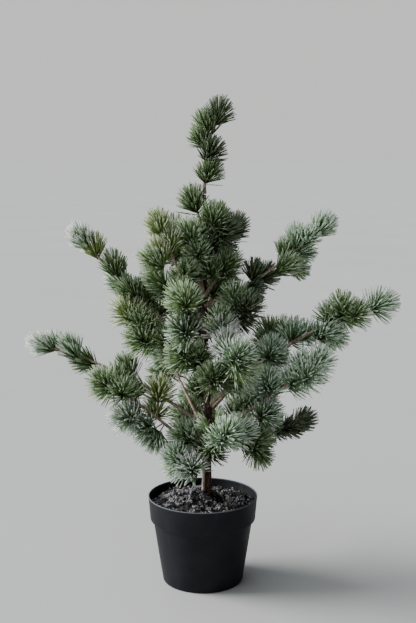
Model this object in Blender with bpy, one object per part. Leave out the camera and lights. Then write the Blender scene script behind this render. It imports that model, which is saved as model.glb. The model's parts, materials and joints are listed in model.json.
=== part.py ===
"""Artificial larch in a black plastic nursery pot, 0.84 m tall in all.

A slender trunk stands in a filled pot. Wire boughs wrapped in bark leave it all round, and each
carries a spray: a stem with side shoots that branch by a seeded rule, and a tuft of stiff
needles on the end of every shoot. Metres, +Z up, the origin under the middle of the pot. The
front is -Y, and bearings are in degrees: 0 is +X, 90 is the back, 180 is -X and 270 the front.
"""

import math
import random
from dataclasses import dataclass, field
from functools import partial
from typing import Callable, NamedTuple

import bmesh
import bpy
import numpy as np
from mathutils import Matrix, Vector

GAP = 0.0003
TINY = 1e-12
LOOK_AHEAD = 0.01
LIMB_SHARP = 50
POT_SHARP = 30
UP = Vector((0, 0, 1))

# Pot
RIM_RADIUS = 0.095
LIP_FOOT_RADIUS = 0.0915
NECK_RADIUS = 0.086
BASE_RADIUS = 0.070
POT_HEIGHT = 0.152
LIP_HEIGHT = 0.040
LIP_STEP = 0.004
POT_WALL = 0.0022
POT_FLOOR = 0.003
BASE_CHAMFER = 0.003
POT_STEPS = 48
NECK_HEIGHT = POT_HEIGHT - LIP_HEIGHT - LIP_STEP

# Filling of the pot
SOIL_LEVEL = 0.138
SOIL_CROWN = 0.0065
SOIL_FLAT_RADIUS = 0.021
SOIL_RINGS = (0.036, 0.056, 0.076)
SOIL_LUMPS = 0.002
LUMP_WAVES = (95, 110)
LUMP_STARTS = (1.2, -0.6)
SOIL_GAP = 0.0005
SOIL_FOOT = SOIL_LEVEL + SOIL_CROWN

# Boughs, stems and shoots
TRUNK_SIDES = 8
LIMB_SIDES = 6
LIMB_STEPS = 4
STEM_SIDES = 4
STEM_STEPS = 6
TWIG_SIDES = 3
TIP_THICKNESS = 0.0013
TUFT_SPACING = 0.036
SHOOT_LENGTH = 0.018
SHOOT_ANGLE = 48
SHOOT_ANGLE_CHANCE = 8
SHOOT_TURN = 137.5
SHOOT_TURN_CHANCE = 25
SHOOT_STEP_CHANCE = (0.8, 1.15)
SHOOT_LIFT = 0.30
FORK_LENGTH = 0.040
FORK_PLACE = 0.5

# Needles
NEEDLE_LENGTH = 0.031
NEEDLE_SHORTEST = 0.86
TUFT_CORE = 0.0090
TUFT_MIDDLE = 0.0045
CORE_SIDES = 4
CORE_RINGS = 2
TUFT_LEAN = 0.70
TUFT_TOUSLE = 0.16
BARE_BACK = -0.60
NEEDLE_ROOT = 0.0046
NEEDLE_TIP = 0.0002
CLEARANCE = 0.0006


class Finish(NamedTuple):
    """The colour and roughness of a material."""

    name: str
    colour: tuple
    roughness: float


BARK = Finish("bark", (0.155, 0.082, 0.048), 0.8)
NEEDLES = Finish("needles", (0.085, 0.165, 0.085), 0.6)
POT_PLASTIC = Finish("pot_plastic", (0.018, 0.018, 0.020), 0.5)
SOIL = Finish("soil", (0.035, 0.028, 0.024), 0.95)


class Station(NamedTuple):
    """One height on the trunk: where its axis runs and how thick it is."""

    height: float
    x: float
    y: float
    radius: float


TRUNK = (
    Station(SOIL_FOOT + GAP, 0.0075, 0.0050, 0.0100),
    Station(0.160, 0.0070, 0.0045, 0.0084),
    Station(0.200, 0.0070, 0.0030, 0.0079),
    Station(0.260, 0.0085, 0.0020, 0.0074),
    Station(0.330, 0.0085, 0.0010, 0.0067),
    Station(0.420, 0.0045, 0.0000, 0.0056),
    Station(0.500, 0.0025, 0.0010, 0.0046),
    Station(0.590, 0.0035, 0.0020, 0.0037),
    Station(0.672, 0.0035, 0.0015, 0.0027),
)
LEADER_TIP = Vector((0.0260, -0.0020, 0.8010))
LEADER_BOW = -0.008


class Bough(NamedTuple):
    """One limb with the spray on its end.

    foot is its height on the trunk, bearing its compass direction, reach how far out its tip
    lies and rise how far above the foot. bow lifts its middle. bare is the share of its
    length with no spray, and 0 leaves out the limb. spread is the length that the innermost
    side shoot gains, and roll turns the first shoot from upright. spacing is the step
    between shoots, and tip_run counts the steps from the tip to the first. opening is the
    angle at which shoots leave the stem, shoot how long the outermost is, and lean how far
    the needles of a tuft point forward. SLIM is for sprays whose tufts hug the stem.
    """

    name: str
    foot: float
    bearing: float
    reach: float
    rise: float
    bow: float = 0.0
    bare: float = 0.24
    spread: float = 0.02
    roll: float = 60
    thickness: float = 0.0028
    spacing: float = TUFT_SPACING
    tip_run: float = 1.0
    opening: float = SHOOT_ANGLE
    shoot: float = SHOOT_LENGTH
    lean: float = TUFT_LEAN
    seed: int = 1


SLIM = {"opening": 30, "shoot": 0.012, "lean": 1.3}
BOUGHS = (
    Bough("low_left", 0.210, 195, 0.178, 0.150, bow=0.010, bare=0.40, spread=0.03, opening=66, seed=5),
    Bough("left_long", 0.270, 180, 0.276, 0.144, bow=0.018, spread=0.01, roll=210, spacing=0.033,
          tip_run=0.8, **SLIM),
    Bough("mid_left", 0.360, 190, 0.135, 0.114, spread=0.03, spacing=0.032, seed=11),
    Bough("upper_left", 0.400, 180, 0.205, 0.194, bow=-0.010, bare=0.40, spread=0.01, spacing=0.026,
          tip_run=1.3, seed=12, **SLIM),
    Bough("steep_left", 0.445, 220, 0.095, 0.175, spread=0.05, lean=1.3, seed=9),
    Bough("high_left_front", 0.500, 240, 0.045, 0.105, spread=0.03, roll=30, seed=6),
    Bough("top_left", 0.610, 195, 0.018, 0.046, bare=0, spread=0.01, roll=240, thickness=0.0018, lean=1.0),
    Bough("top_front", 0.560, 295, 0.035, 0.070, bare=0, roll=240, thickness=0.0018, seed=12),
    Bough("top_right", 0.565, 30, 0.055, 0.045, spread=0.03, roll=0, thickness=0.0020, lean=1.0, seed=2),
    Bough("high_right_front", 0.500, 325, 0.045, 0.055, spread=0.01, roll=30, thickness=0.0022, seed=2),
    Bough("upper_right", 0.485, 0, 0.194, 0.128, bow=-0.014, spread=0.01, roll=0, spacing=0.041, tip_run=1.3,
          shoot=0.014, lean=1.3, seed=3),
    Bough("mid_right_front", 0.430, 320, 0.090, 0.060, spread=0.03, roll=0, seed=9),
    Bough("right_long", 0.310, 350, 0.286, 0.182, bow=0.023, spread=0.01, roll=30, thickness=0.0034,
          spacing=0.044, tip_run=1.6, opening=58, shoot=0.014, seed=2),
    Bough("right_low_front", 0.250, 335, 0.196, 0.150, bare=0.22, spread=0.01, roll=120, shoot=0.022,
          seed=14),
    Bough("right_low_back", 0.230, 25, 0.185, 0.030, bare=0.45, spread=0, roll=240,
          shoot=0.014, lean=1.3, seed=2),
    Bough("right_low", 0.220, 318, 0.105, 0.046, bow=0.010, bare=0.28, spread=0.03, roll=30, seed=13),
    Bough("front_low", 0.215, 270, 0.045, 0.035, bare=0, spread=0.05, thickness=0.0022, shoot=0.022, seed=2),
    Bough("low_front_left", 0.200, 225, 0.070, 0.030, bow=-0.010, bare=0, spread=0.03, roll=270,
          thickness=0.0022, spacing=0.032, seed=12),
    Bough("front_mid", 0.235, 285, 0.125, 0.060, spread=0.03, roll=270, spacing=0.032, lean=1.0, seed=2),
    Bough("front_high", 0.340, 285, 0.180, 0.090, bow=0.010, spread=0.03, roll=210),
    Bough("front_left", 0.370, 240, 0.080, 0.045, spread=0.01, roll=270, seed=2),
    Bough("front_upper", 0.395, 255, 0.130, 0.115, spread=0.04, roll=30, seed=6),
    Bough("back_left_low", 0.255, 125, 0.150, 0.145, bare=0.60, spread=0.04, roll=30, seed=13),
    Bough("back_low", 0.220, 95, 0.190, 0.080, spread=0.03, roll=240, seed=9),
    Bough("back_right", 0.295, 50, 0.212, 0.115, spread=0.01, roll=330, seed=5),
    Bough("back_left_mid", 0.350, 155, 0.140, 0.140, spread=0.04, roll=330, spacing=0.032, seed=8),
    Bough("back_mid", 0.385, 90, 0.180, 0.115, spread=0.04, roll=330, seed=3),
    Bough("back_upper", 0.460, 75, 0.110, 0.095, spread=0.04, roll=180, seed=3),
    Bough("back_high", 0.530, 125, 0.100, 0.075, spread=0.04, roll=150, thickness=0.0020),
)
LEADER_SPACING = 0.038
LEADER_ROLL = 0
LEADER_OPENING = 40
LEADER_SHOOT = 0.018
LEADER_LEAN = 1.0
LEADER_SEED = 3


def between(low, high, share):
    """The value that lies a share of the way from low to high."""
    return low + (high - low) * share


def bulge(share):
    """How far a bowed path stands out at a share of it: 0 at its ends and 1 in the middle."""
    return 4 * share * (1 - share)


def trunk_axis(height):
    """The middle of the trunk at a height, straight between its stations."""
    upper = next((s for s in TRUNK[1:] if s.height >= height), TRUNK[-1])
    lower = TRUNK[TRUNK.index(upper) - 1]
    share = (height - lower.height) / (upper.height - lower.height)
    return Vector((between(lower.x, upper.x, share), between(lower.y, upper.y, share), height))


def bough_point(bough, share):
    """A point along a bough, from the trunk's axis at 0 to its tip at 1."""
    bearing = math.radians(bough.bearing)
    out = Vector((math.cos(bearing), math.sin(bearing), 0))
    straight = trunk_axis(bough.foot) + (out * bough.reach + UP * bough.rise) * share
    return straight + UP * bough.bow * bulge(share)


def leader_point(share):
    """A point along the leader, from the trunk's tip at 0 to the top tuft at 1."""
    foot = trunk_axis(TRUNK[-1].height) + UP * GAP
    return foot.lerp(LEADER_TIP, share) + Vector((LEADER_BOW, 0, 0)) * bulge(share)


def heading(path, share):
    """The direction of a path at a share of it."""
    return (path(share + LOOK_AHEAD) - path(share - LOOK_AHEAD)).normalized()


@dataclass
class Run:
    """A tapering stretch of a path."""

    path: Callable
    start: float
    end: float
    thick: float
    thin: float
    steps: int

    def shares(self):
        return [between(self.start, self.end, i / self.steps) for i in range(self.steps + 1)]

    def points(self):
        return [self.path(share) for share in self.shares()]

    def radii(self):
        return [between(self.thick, self.thin, i / self.steps) for i in range(self.steps + 1)]

    def length(self):
        points = self.points()
        return sum((b - a).length for a, b in zip(points, points[1:]))


@dataclass
class Spray:
    """One mass of foliage: its stem, and the side shoots and tufts that grow from it."""

    name: str
    stem: Run
    spread: float
    roll: float
    spacing: float
    tip_run: float
    opening: float
    shoot: float
    lean: float
    chance: random.Random
    twigs: list = field(default_factory=list)
    tufts: list = field(default_factory=list)


def bough_radius(bough, share):
    """How thick a bough is at a share of its length."""
    return between(bough.thickness, TIP_THICKNESS, share)


def limb_of(bough):
    """The bare limb of a bough, from the trunk's axis to its spray."""
    path = partial(bough_point, bough)
    return Run(path, 0, bough.bare, bough.thickness, bough_radius(bough, bough.bare), LIMB_STEPS)


def spray_of(bough):
    """The spray of a bough, whose stem goes on from the limb a gap clear."""
    path = partial(bough_point, bough)
    start = bough.bare
    if bough.bare:
        start += GAP / Run(path, 0, 1, 0, 0, STEM_STEPS).length()
    stem = Run(path, start, 1, bough_radius(bough, start), TIP_THICKNESS, STEM_STEPS)
    chance = random.Random(bough.seed)
    name = "spray_" + bough.name
    return Spray(
        name, stem, bough.spread, bough.roll, bough.spacing, bough.tip_run, bough.opening, bough.shoot,
        bough.lean, chance,
    )


def leader_spray():
    """The spray that goes on from the trunk's tip to the top of the tree."""
    stem = Run(leader_point, 0, 1, TRUNK[-1].radius, TIP_THICKNESS, STEM_STEPS)
    chance = random.Random(LEADER_SEED)
    return Spray(
        "spray_leader", stem, 0, LEADER_ROLL, LEADER_SPACING, 1, LEADER_OPENING, LEADER_SHOOT, LEADER_LEAN,
        chance,
    )


class Room:
    """Everything placed so far, as tapering rods with labels, so that each piece keeps clear of them."""

    def __init__(self):
        self.rods = []
        self.labels = []

    def add(self, label, start, end, start_radius, end_radius):
        """Notes a rod."""
        self.rods.append((*start, *end, start_radius, end_radius))
        self.labels.append(label)

    def add_run(self, label, points, radii):
        """Notes a line of points as rods."""
        for i in range(len(points) - 1):
            self.add(label, points[i], points[i + 1], radii[i], radii[i + 1])

    def is_free(self, start, end, start_radius, end_radius, ignoring):
        """Whether a rod keeps CLEARANCE from every other, apart from those whose label starts so."""
        rods = np.array(self.rods)[~np.char.startswith(self.labels, ignoring)]
        here, there, apart = nearest(np.array(start), np.array(end), rods[:, 0:3], rods[:, 3:6])
        own = between(start_radius, end_radius, here)
        other = between(rods[:, 6], rods[:, 7], there)
        return bool((apart > own + other + CLEARANCE).all())


def nearest(start, end, starts, ends):
    """Where one rod and each of many come nearest, as shares of their lengths, and how far apart."""
    along = end - start
    others = ends - starts
    offset = start - starts
    own_square = max(along @ along, TINY)
    squares = np.maximum((others * others).sum(1), TINY)
    lean = others @ along
    start_lean = offset @ along
    other_lean = (others * offset).sum(1)
    spread = np.maximum(own_square * squares - lean * lean, TINY)
    here = np.clip((lean * other_lean - start_lean * squares) / spread, 0, 1)
    there = np.clip((lean * here + other_lean) / squares, 0, 1)
    here = np.clip((lean * there - start_lean) / own_square, 0, 1)
    between_them = offset + here[:, None] * along - there[:, None] * others
    return here, there, np.linalg.norm(between_them, axis=1)


def leaning(along, roll, angle):
    """A direction that leaves the direction along at an angle, turned by roll from upright."""
    side = along.cross(UP).normalized()
    away = side.cross(along) * math.cos(roll) + side * math.sin(roll)
    return (along * math.cos(angle) + away * math.sin(angle)).normalized()


def lifted(direction):
    """The direction bent up a little, as shoots reach for light."""
    return (direction + UP * SHOOT_LIFT).normalized()


def tuft_label(spray, number):
    """The label of a tuft's rods, and of the twig under it."""
    return f"{spray.name}/{number}/"


def add_tuft(spray, room, base, direction):
    """Sets a tuft on a tip and notes its core."""
    room.add(tuft_label(spray, len(spray.tufts)), base, base, TUFT_CORE, TUFT_CORE)
    spray.tufts.append((base, lifted(direction)))


def grow_shoot(spray, room, root, direction, length):
    """Adds a side shoot with its tuft, unless something else is in its way. A long one forks."""
    tip = root + direction * length
    label = tuft_label(spray, len(spray.tufts))
    own = spray.name + "/"
    twig_is_free = room.is_free(root, tip, TIP_THICKNESS, TIP_THICKNESS, ignoring=own)
    core_is_free = room.is_free(tip, tip, TUFT_CORE, TUFT_CORE, ignoring=own)
    middle_is_free = room.is_free(tip, tip, TUFT_MIDDLE, TUFT_MIDDLE, ignoring=label)
    if not (twig_is_free and core_is_free and middle_is_free):
        return
    spray.twigs.append((root, tip))
    room.add(label, root, tip, TIP_THICKNESS, TIP_THICKNESS)
    add_tuft(spray, room, tip, direction)
    if length > FORK_LENGTH:
        roll = math.radians(spray.chance.uniform(0, 360))
        fork = leaning(direction, roll, math.radians(SHOOT_ANGLE))
        grow_shoot(spray, room, root.lerp(tip, FORK_PLACE), fork, SHOOT_LENGTH)


def grow_shoots(spray, room):
    """Side shoots back along the stem from its tip, each turned on from the last."""
    length = spray.stem.length()
    back = spray.spacing * spray.tip_run
    roll = spray.roll
    while back < length - spray.shoot / 2:
        share = between(1, spray.stem.start, back / length)
        opening = spray.opening + spray.chance.uniform(-SHOOT_ANGLE_CHANCE, SHOOT_ANGLE_CHANCE)
        direction = leaning(
            heading(spray.stem.path, share), math.radians(roll), math.radians(opening)
        )
        shoot_length = spray.shoot + spray.spread * back / length
        grow_shoot(spray, room, spray.stem.path(share), direction, shoot_length)
        back += spray.spacing * spray.chance.uniform(*SHOOT_STEP_CHANCE)
        roll += SHOOT_TURN + spray.chance.uniform(-SHOOT_TURN_CHANCE, SHOOT_TURN_CHANCE)


def grow_all():
    """Every spray with its shoots and tufts, and the room that notes what stands where."""
    room = Room()
    room.add_run("trunk/", [Vector((s.x, s.y, s.height)) for s in TRUNK], [s.radius for s in TRUNK])
    for bough in BOUGHS:
        if bough.bare:
            limb = limb_of(bough)
            room.add_run("bough_" + bough.name + "/", limb.points(), limb.radii())
    sprays = [leader_spray(), *map(spray_of, BOUGHS)]
    for spray in sprays:
        room.add_run(spray.name + "/", spray.stem.points(), spray.stem.radii())
        add_tuft(spray, room, spray.stem.path(1), heading(spray.stem.path, 1))
    for spray in sprays:
        grow_shoots(spray, room)
    return sprays, room


def material_of(finish):
    """The material of a finish, made once."""
    made = bpy.data.materials.get(finish.name)
    if made:
        return made
    material = bpy.data.materials.new(finish.name)
    material.use_nodes = True
    shader = material.node_tree.nodes["Principled BSDF"]
    shader.inputs["Base Color"].default_value = (*finish.colour, 1)
    shader.inputs["Roughness"].default_value = finish.roughness
    material.diffuse_color = (*finish.colour, 1)
    return material


def object_of(name, mesh, finish):
    """An object from a bmesh, with its faces turned outward."""
    bmesh.ops.recalc_face_normals(mesh, faces=mesh.faces)
    data = bpy.data.meshes.new(name)
    mesh.to_mesh(data)
    mesh.free()
    data.materials.append(material_of(finish))
    made = bpy.data.objects.new(name, data)
    bpy.context.scene.collection.objects.link(made)
    return made


def smooth(made, sharp_degrees):
    """Shades an object smooth, apart from edges sharper than an angle."""
    made.data.shade_smooth()
    made.data.set_sharp_from_angle(angle=math.radians(sharp_degrees))


def tube(points, directions, radii, sides):
    """A closed tube, extruded from its first end through each point in turn."""
    mesh = bmesh.new()
    turn = UP.rotation_difference(directions[0]).to_matrix().to_4x4()
    place = Matrix.Translation(points[0]) @ turn
    bmesh.ops.create_circle(mesh, cap_ends=True, segments=sides, radius=radii[0], matrix=place)
    end = mesh.faces[:]
    for i in range(1, len(points)):
        drawn = bmesh.ops.extrude_face_region(mesh, geom=[*end, *end[0].edges, *end[0].verts])["geom"]
        turn = directions[i - 1].rotation_difference(directions[i]).to_matrix().to_4x4()
        step = Matrix.Translation(points[i] - points[i - 1])
        move = step @ turn @ Matrix.Scale(radii[i] / radii[i - 1], 4)
        ring = [vert for vert in drawn if isinstance(vert, bmesh.types.BMVert)]
        bmesh.ops.transform(mesh, matrix=move, verts=ring, space=Matrix.Translation(-points[i - 1]))
        end = [face for face in drawn if isinstance(face, bmesh.types.BMFace)]
    return mesh


def run_tube(run, sides):
    """A tube along a run."""
    directions = [heading(run.path, share) for share in run.shares()]
    return tube(run.points(), directions, run.radii(), sides)


def trunk_mesh(room_round=0.0):
    """The trunk as a tube with level rings, thicker all round by room_round."""
    points = [Vector((s.x, s.y, s.height)) for s in TRUNK]
    return tube(points, [UP] * len(TRUNK), [s.radius + room_round for s in TRUNK], TRUNK_SIDES)


def boolean(made, operation, **operand):
    """Applies one Boolean to an object."""
    cut = made.modifiers.new("boolean", "BOOLEAN")
    cut.operation = operation
    for name, value in operand.items():
        setattr(cut, name, value)
    with bpy.context.temp_override(object=made, active_object=made):
        bpy.ops.object.modifier_apply(modifier=cut.name)


def cut_clear_of_trunk(made):
    """Cuts an object off where the trunk stands, a gap clear of it."""
    cutter = object_of("trunk_space", trunk_mesh(GAP), BARK)
    boolean(made, "DIFFERENCE", object=cutter)
    bpy.data.objects.remove(cutter)


def fuse(made, others):
    """Joins overlapping objects to one closed solid by a Boolean union on their collection."""
    group = bpy.data.collections.new("shoots")
    bpy.context.scene.collection.children.link(group)
    for other in others:
        bpy.context.scene.collection.objects.unlink(other)
        group.objects.link(other)
    boolean(made, "UNION", operand_type="COLLECTION", collection=group)
    for other in others:
        bpy.data.objects.remove(other)
    bpy.data.collections.remove(group)


def build_trunk():
    """The trunk, from its flared flat foot on the soil to the foot of the leader."""
    smooth(object_of("trunk", trunk_mesh(), BARK), LIMB_SHARP)


def build_limb(bough):
    """The bare limb of a bough, cut off at the trunk."""
    limb = object_of("bough_" + bough.name, run_tube(limb_of(bough), LIMB_SIDES), BARK)
    cut_clear_of_trunk(limb)
    smooth(limb, LIMB_SHARP)


def tuft_mesh(spray, room, number):
    """A tuft: a small core whose faces are drawn out to needles, with its back left bare."""
    base, axis = spray.tufts[number]
    label = tuft_label(spray, number)
    mesh = bmesh.new()
    bmesh.ops.create_uvsphere(
        mesh, u_segments=CORE_SIDES, v_segments=CORE_RINGS, radius=TUFT_CORE
    )
    bmesh.ops.subdivide_edges(mesh, edges=mesh.edges, cuts=1, use_grid_fill=True)
    for vert in mesh.verts:
        vert.co = vert.co.normalized() * TUFT_CORE
    turn = UP.rotation_difference(axis).to_matrix().to_4x4()
    spin = Matrix.Rotation(spray.chance.uniform(0, math.tau), 4, "Z")
    bmesh.ops.transform(mesh, matrix=Matrix.Translation(base) @ turn @ spin, verts=mesh.verts)
    for face in mesh.faces[:]:
        middle = face.calc_center_median()
        outward = (middle - base).normalized()
        tousle = Vector([spray.chance.uniform(-TUFT_TOUSLE, TUFT_TOUSLE) for _ in range(3)])
        length = NEEDLE_LENGTH * spray.chance.uniform(NEEDLE_SHORTEST, 1)
        tip = middle + (outward + axis * spray.lean + tousle).normalized() * length
        if outward.dot(axis) < BARE_BACK:
            continue
        if room.is_free(middle, tip, NEEDLE_ROOT, NEEDLE_TIP, ignoring=label):
            room.add(label, middle, tip, NEEDLE_ROOT, NEEDLE_TIP)
            bmesh.ops.poke(mesh, faces=[face])["verts"][0].co = tip
    return mesh


def build_spray(spray, room):
    """A mass of foliage as one solid: its stem, its side shoots and its tufts, fused."""
    stem = object_of(spray.name, run_tube(spray.stem, STEM_SIDES), NEEDLES)
    shoots = []
    for root, tip in spray.twigs:
        direction = (tip - root).normalized()
        twig = tube([root, tip], [direction] * 2, [TIP_THICKNESS] * 2, TWIG_SIDES)
        shoots.append(object_of("twig", twig, NEEDLES))
    for number in range(len(spray.tufts)):
        shoots.append(object_of("tuft", tuft_mesh(spray, room, number), NEEDLES))
    fuse(stem, shoots)
    if spray.stem.start == 0 and spray.stem.path is not leader_point:
        cut_clear_of_trunk(stem)


def turned(profile):
    """A shape turned about the Z axis from a profile of radii and heights."""
    mesh = bmesh.new()
    verts = [mesh.verts.new((radius, 0, height)) for radius, height in profile]
    edges = [mesh.edges.new(pair) for pair in zip(verts, verts[1:])]
    bmesh.ops.spin(
        mesh, geom=verts + edges, axis=UP, cent=(0, 0, 0), angle=math.tau, steps=POT_STEPS, use_merge=True
    )
    bmesh.ops.remove_doubles(mesh, verts=mesh.verts, dist=GAP / 10)
    return mesh


def build_pot():
    """The pot: a tapering shell with a deep lip, standing on its flat floor."""
    outside = [
        (0, 0),
        (BASE_RADIUS - BASE_CHAMFER, 0),
        (BASE_RADIUS, BASE_CHAMFER),
        (NECK_RADIUS, NECK_HEIGHT),
        (LIP_FOOT_RADIUS, NECK_HEIGHT + LIP_STEP),
        (RIM_RADIUS, POT_HEIGHT),
    ]
    inside = [(radius - POT_WALL, height) for radius, height in outside[:2:-1]]
    floor = [(BASE_RADIUS - POT_WALL, POT_FLOOR), (0, POT_FLOOR)]
    smooth(object_of("pot", turned(outside + inside + floor), POT_PLASTIC), POT_SHARP)


def soil_height(x, y):
    """The uneven top of the soil: flat under the trunk, falling to the wall in lumps."""
    away = math.hypot(x, y)
    fall = min(1, max(0, (away - SOIL_FLAT_RADIUS) / (SOIL_RINGS[-1] - SOIL_FLAT_RADIUS)))
    along_x = math.sin(x * LUMP_WAVES[0] + LUMP_STARTS[0])
    along_y = math.sin(y * LUMP_WAVES[1] + LUMP_STARTS[1])
    lump = SOIL_LUMPS * along_x * along_y
    return SOIL_FOOT - SOIL_CROWN * fall + lump * min(1, 2 * fall)


def build_soil():
    """The filling of the pot: a plug that follows the pot's inside, a gap clear."""
    inner = POT_WALL + SOIL_GAP
    lip_share = (SOIL_LEVEL - NECK_HEIGHT - LIP_STEP) / LIP_HEIGHT
    edge = between(LIP_FOOT_RADIUS, RIM_RADIUS, lip_share) - inner
    profile = [
        (0, POT_FLOOR + GAP),
        (BASE_RADIUS - inner, POT_FLOOR + GAP),
        (NECK_RADIUS - inner, NECK_HEIGHT),
        (LIP_FOOT_RADIUS - inner, NECK_HEIGHT + LIP_STEP),
        (edge, SOIL_LEVEL),
        *[(radius, SOIL_LEVEL) for radius in reversed(SOIL_RINGS)],
        (SOIL_FLAT_RADIUS, SOIL_FOOT),
        (0, SOIL_FOOT),
    ]
    mesh = turned(profile)
    for vert in mesh.verts:
        away = math.hypot(vert.co.x, vert.co.y)
        if vert.co.z > SOIL_LEVEL - GAP and SOIL_FLAT_RADIUS + GAP < away < edge - GAP:
            vert.co.z = soil_height(vert.co.x, vert.co.y)
    smooth(object_of("soil", mesh, SOIL), LIMB_SHARP)


def main():
    for old in bpy.data.objects[:]:
        bpy.data.objects.remove(old)
    build_pot()
    build_soil()
    build_trunk()
    for bough in BOUGHS:
        if bough.bare:
            build_limb(bough)
    sprays, room = grow_all()
    for spray in sprays:
        build_spray(spray, room)


if __name__ == "__main__":
    main()
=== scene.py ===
"""Looks of the potted artificial larch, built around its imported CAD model.

The growth rule of the part's source is repeated here and carried to finer shoots: needles grow
on every tip, and bark with relief covers trunk, boughs and twigs. Metres, +Z up, the front is -Y.
"""

import json
import math
import random
from dataclasses import dataclass, field, replace
from functools import partial
from typing import Callable, NamedTuple

import bmesh
import bpy
import numpy as np
from mathutils import Matrix, Vector, noise

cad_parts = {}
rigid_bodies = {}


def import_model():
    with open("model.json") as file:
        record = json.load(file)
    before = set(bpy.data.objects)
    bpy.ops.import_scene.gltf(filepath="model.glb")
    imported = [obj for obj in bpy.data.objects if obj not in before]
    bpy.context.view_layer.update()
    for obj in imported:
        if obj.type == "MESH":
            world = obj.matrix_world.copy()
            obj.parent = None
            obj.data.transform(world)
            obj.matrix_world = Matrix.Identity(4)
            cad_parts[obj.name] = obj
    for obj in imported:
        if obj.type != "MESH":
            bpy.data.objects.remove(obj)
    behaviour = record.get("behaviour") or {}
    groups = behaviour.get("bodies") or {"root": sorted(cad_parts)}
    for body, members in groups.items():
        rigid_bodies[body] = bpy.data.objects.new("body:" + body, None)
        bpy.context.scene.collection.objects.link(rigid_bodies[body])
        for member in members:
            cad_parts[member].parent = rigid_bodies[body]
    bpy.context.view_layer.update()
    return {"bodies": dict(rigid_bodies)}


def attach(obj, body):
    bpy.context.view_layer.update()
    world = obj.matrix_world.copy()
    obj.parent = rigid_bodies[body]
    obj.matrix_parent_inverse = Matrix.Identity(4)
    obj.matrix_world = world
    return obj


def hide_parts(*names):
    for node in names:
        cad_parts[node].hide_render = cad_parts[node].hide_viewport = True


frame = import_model()
(BODY,) = frame["bodies"]

UP = Vector((0, 0, 1))
TINY = 1e-12
LOOK_AHEAD = 0.01
GOLDEN_TURN = math.pi * (3 - math.sqrt(5))

# Camera and light
CAMERA_PLACE = (0.009, -1.700, 0.734)
CAMERA_PITCH = 8.69
CAMERA_LENS = 58.65
SENSOR = 36.0
FLOOR_RADIUS = 120.0
FLOOR_CORNERS = 96
KEY_DIRECTION = (1.0, -0.15, -0.54)
KEY_WIDTH = 36
KEY_STRENGTH = 5.8
GLOW_SIDE = (-1.0, 0.10, 0.40)
GLOW_EDGE = -0.3
GLOW_DIM = 0.055
GLOW_BRIGHT = 1.50
BACKDROP = 0.760

# Pot
RIM_RADIUS = 0.095
LIP_FOOT_RADIUS = 0.0915
NECK_RADIUS = 0.086
BASE_RADIUS = 0.070
POT_HEIGHT = 0.152
LIP_HEIGHT = 0.040
LIP_STEP = 0.004
POT_WALL = 0.0022
POT_FLOOR = 0.0042
POT_STEPS = 144
POT_SHARP = 60
NECK_HEIGHT = POT_HEIGHT - LIP_HEIGHT - LIP_STEP
RIM_ROUND = 0.0011
# Depths below the rim's top over which a pale band is painted as a highlight
RIM_HIGHLIGHT_BAND = (0.0018, 0.0006)
FOOT_ROUND = 0.0030
FOOT_RECESS = 0.0020
LIP_HOLLOW = 0.0001

# Rounding of the pot's corners, as steps outward and up from each
FOOT_STEPS = ((-0.0125, 0.0020), (-0.0110, 0.0004), (-0.0100, 0))
NECK_STEPS = ((-0.0002, -0.0016), (0.0002, 0.0004), (0.0022, 0.0012))
LIP_STEPS = ((-0.0012, -0.0016), (-0.0002, -0.0006), (0, 0.0008))
OUTER_RIM_STEPS = ((-0.0005, -0.0042),)
INNER_RIM_STEPS = ((-0.0025, -0.0040),)

# Filling of the pot
SOIL_LEVEL = 0.138
SOIL_CROWN = 0.0065
SOIL_FLAT_RADIUS = 0.021
SOIL_EDGE_RADIUS = 0.0900
SOIL_DEPTH = 0.030
SOIL_FOOT = SOIL_LEVEL + SOIL_CROWN
SOIL_RINGS = 90
SOIL_SECTORS = 240
SOIL_SEED = 5

# Growth, as in the part's source
GAP = 0.0003
LIMB_STEPS = 4
STEM_STEPS = 6
TIP_THICKNESS = 0.0013
TUFT_SPACING = 0.036
SHOOT_LENGTH = 0.018
SHOOT_ANGLE = 48
SHOOT_ANGLE_CHANCE = 8
SHOOT_TURN = 137.5
SHOOT_TURN_CHANCE = 25
SHOOT_STEP_CHANCE = (0.8, 1.15)
SHOOT_LIFT = 0.30
FORK_LENGTH = 0.040
FORK_PLACE = 0.5
TUFT_CORE = 0.0090
TUFT_MIDDLE = 0.0045
TUFT_LEAN = 0.70
BARE_BACK = -0.60
CLEARANCE = 0.0006

# Finer shoots, between those of the source
FINE_SPACING = 0.55
FINE_LENGTH = 0.013
FINE_CORE = 0.0045
FINE_SEED = 700
INNER_FOOT = 0.36
INNER_START = 0.10
SPARSE = ("front_high", "front_upper", "leader")
OPEN_LIMBS = ("low_left", "left_long", "right_long", "right_low_front")
OPEN_SIDE = -0.15
OPEN_BACK = 0.45

# Finer shoots at named places: the spray, the share of its bough, angle, roll and length
EXTRA_SHOOTS = (
    ("low_left", 0.43, 70, 180, 0.028),
    ("low_left", 0.49, 62, 205, 0.026),
    ("low_left", 0.55, 60, 170, 0.032),
    ("low_left", 0.42, 100, 180, 0.026),
    ("upper_right", 0.66, 60, 180, 0.022),
    ("right_long", 0.66, 60, 180, 0.024),
    ("right_low", 0.94, 55, 180, 0.022),
    ("leader", 0.56, 45, 20, 0.017),
    ("leader", 0.26, 68, 180, 0.021),
)

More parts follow.
